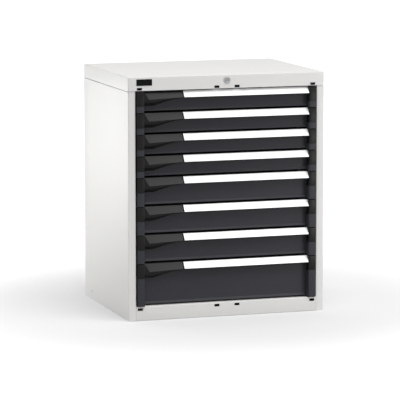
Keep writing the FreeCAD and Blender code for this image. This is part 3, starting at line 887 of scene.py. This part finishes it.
# %% Grips
def make_grip(row):
    name = f"drawer_{row}_handle"
    low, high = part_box(name)
    crest, wall = high.y - 0.009, 0.003
    bottom = high.z - 0.022
    points = [(high.y, high.z), (crest, high.z), (low.y, bottom), (low.y, low.z),
              (low.y + wall, low.z), (low.y + wall, bottom), (crest + wall, high.z - wall),
              (high.y, high.z - wall)]
    bm = bar([(low.x, y, z) for y, z in points], (high.x - low.x, 0, 0), 0.0006)
    return keep(bm, f"grip_{row}", f"drawer_{row}", grip_black, [name])


print([len(make_grip(row).data.polygons) for row in rows], "faces in the grips")


# %% Labels
def make_label(row):
    name = f"drawer_{row}_label"
    low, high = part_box(name)
    points = [(high.y - 0.001, high.z), (high.y, high.z), (low.y + 0.001, low.z), (low.y, low.z)]
    bm = bar([(low.x, y, z) for y, z in points], (high.x - low.x, 0, 0), 0.0002)
    return keep(bm, f"label_{row}", f"drawer_{row}", label_white, [name])


print([len(make_label(row).data.polygons) for row in rows], "faces in the labels")

# %% [markdown]
# ## Lock
# The housing is a turned bezel with a barrel behind it, so half of its section is spun round
# the key's axis. The plug is spun as well, with its long shaft, and its keyway is opened in
# the face that the key meets.

# %% Turned parts
def turned(profile, centre, steps=64):
    """Spins (radius, y) points round the line along Y through the centre."""
    bm = bmesh.new()
    corners = [bm.verts.new((centre.x + radius, y, centre.z)) for radius, y in profile]
    edges = [bm.edges.new(pair) for pair in zip(corners, corners[1:])]
    bmesh.ops.spin(bm, geom=corners + edges, cent=centre, axis=(0, 1, 0), angle=2 * pi, steps=steps,
                   use_merge=True)
    bmesh.ops.remove_doubles(bm, verts=bm.verts, dist=0.000001)
    return bm


def make_lock():
    low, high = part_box("lock_housing")
    centre = Vector((0, 0, (low.z + high.z) / 2))
    face = low.y
    bore, rim, barrel = 0.0063, 0.0120, 0.0090
    bezel = [(bore, high.y), (bore, face + 0.0006), (0.0069, face), (0.0108, face),
             (0.0117, face + 0.0005), (rim, face + 0.0014), (rim, front), (barrel, front),
             (barrel, high.y), (bore, high.y)]
    return keep(turned(bezel, centre), "lock_bezel", "carcass", chrome,
                ["lock_housing"], 25)


print(make_lock().name, "made")


# %% Key plug
def make_plug():
    low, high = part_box("lock_cylinder")
    housing_low, housing_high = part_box("lock_housing")
    centre = Vector((0, 0, (housing_low.z + housing_high.z) / 2))
    plug_back, crank, crank_back = -0.2545, 0.241, 0.245
    body, shaft, arm = 0.0060, 0.0040, 0.0120
    key_reach, key_round = 0.0026, 0.0009
    plug = turned([(0.0056, low.y), (body, low.y + 0.0004), (body, plug_back), (shaft, plug_back),
                   (shaft, crank), (arm, crank), (arm, crank_back), (0.0, crank_back)], centre)
    rim = [e for e in plug.edges if e.is_boundary and abs(e.verts[0].co.y - low.y) < 1e-6]
    made = bmesh.ops.extrude_edge_only(plug, edges=rim)["geom"]
    ring = corners_of(made)
    for vert in ring:
        x, z = vert.co.x - centre.x, vert.co.z - centre.z
        core = max(-key_reach, min(key_reach, x))
        out = Vector((x - core, z)).normalized() * key_round
        vert.co.x, vert.co.z = centre.x + core + out.x, centre.z + out.y
    keyway = [e for e in made if isinstance(e, bmesh.types.BMEdge) and all(v in ring for v in e.verts)]
    deep = bmesh.ops.extrude_edge_only(plug, edges=keyway)["geom"]
    bmesh.ops.translate(plug, verts=corners_of(deep), vec=(0, 0.012, 0))
    bmesh.ops.holes_fill(plug, edges=[e for e in plug.edges if e.is_boundary], sides=0)
    pin = block((0.0025, crank_back, centre.z - 0.0075), (0.0075, high.y, centre.z - 0.0025), 0.0012, 3)
    return keep(merged([plug, pin]), "key_plug", "lock_plug", chrome,
                ["lock_cylinder"], 25)


print(make_plug().name, "made")

# %% [markdown]
# ## Badge
# A plain plate fills the place of a name plate. Its corners are rounded and a narrow rim stands
# round its face; nothing is written on it.

# %% Badge
def make_badge():
    low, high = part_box("badge_plate")
    bm = block(low, high)
    corners = [e for e in bm.edges if abs(e.verts[0].co.y - e.verts[1].co.y) > 1e-6]
    round_edges(bm, corners, 0.0015, 4)
    face = min(bm.faces, key=lambda f: f.calc_center_median().y)
    bmesh.ops.inset_region(bm, faces=[face], thickness=0.0004, depth=0.0)
    bmesh.ops.inset_region(bm, faces=[face], thickness=0.0012, depth=0.0)
    bmesh.ops.inset_region(bm, faces=[face], thickness=0.0003, depth=-0.0003)
    return keep(bm, "badge", "carcass", badge_black, ["badge_plate"], 40)


print(make_badge().name, "made")
